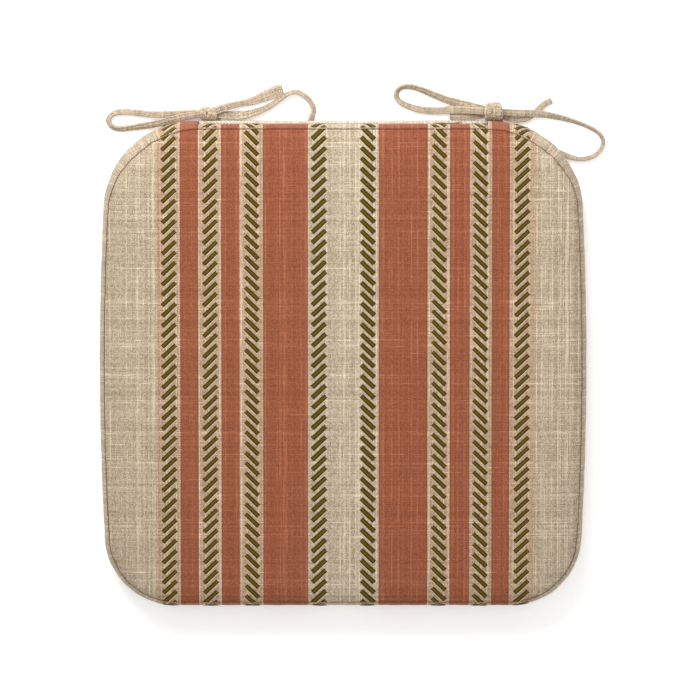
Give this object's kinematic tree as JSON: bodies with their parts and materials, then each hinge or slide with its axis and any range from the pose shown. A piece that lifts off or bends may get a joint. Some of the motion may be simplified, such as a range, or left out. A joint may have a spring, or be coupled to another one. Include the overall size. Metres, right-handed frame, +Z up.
{
  "type": "chair seat pad",
  "caption": "Boxed foam seat pad with rounded corners, a striped and embroidered cover, a zip across the back edge and fabric ties bowed at the back corners.",
  "frame": {"origin": "on the floor, under the middle of the pad, ties left out", "axes": "+Z up through the pad's thickness, +Y towards the back edge with the zip and ties, +X to the right seen from above with the back edge away"},
  "size_m": [0.4231, 0.4367, 0.04],
  "materials": {
    "striped_linen": "slubby woven linen, striped, with embroidered dashes",
    "plain_linen": "slubby woven linen, undyed",
    "tie_linen": "folded and stitched linen tape",
    "sewing_thread": "twisted polyester thread",
    "foam": "open-cell polyurethane foam",
    "wadding": "loose polyester fibre",
    "zip_tape": "woven polyester tape",
    "zip_coil": "dyed nylon coil",
    "zip_metal": "antique brass plate"
  },
  "bodies": {
    "pad": {"top_panel": "striped_linen", "bottom_panel": "plain_linen", "boxing_front_and_sides": "striped_linen", "boxing_back_upper": "striped_linen", "boxing_back_lower": "plain_linen", "top_seam_thread": "sewing_thread", "bottom_seam_thread": "sewing_thread", "foam_core": "foam", "wadding_bottom": "wadding", "wadding_top": "wadding", "zip_tape_upper": "zip_tape", "zip_tape_lower": "zip_tape", "zip_coil_upper": "zip_coil", "zip_coil_lower": "zip_coil", "zip_top_stop_upper": "zip_metal", "zip_top_stop_lower": "zip_metal", "zip_end_stop": "zip_metal", "tie_left_lead": "tie_linen", "tie_left_loop": "tie_linen", "tie_left_tail": "tie_linen", "tie_left_short_tail": "tie_linen", "tie_left_knot": "tie_linen", "tie_right_lead": "tie_linen", "tie_right_loop": "tie_linen", "tie_right_tail": "tie_linen", "tie_right_short_tail": "tie_linen", "tie_right_knot": "tie_linen"},
    "slider": {"zip_slider": "zip_metal"},
    "pull": {"zip_pull": "zip_metal"}
  },
  "joints": [
    {"name": "zip_slide", "type": "slide", "parent": "pad", "child": "slider", "axis": [-1, 0, 0], "range_m": [0, 0.197]},
    {"name": "pull_swing", "type": "hinge", "parent": "slider", "child": "pull", "pos_m": [0.096, 0.20075, 0.01795], "axis": [0, 0, -1], "range_deg": [0, 175]}
  ]
}
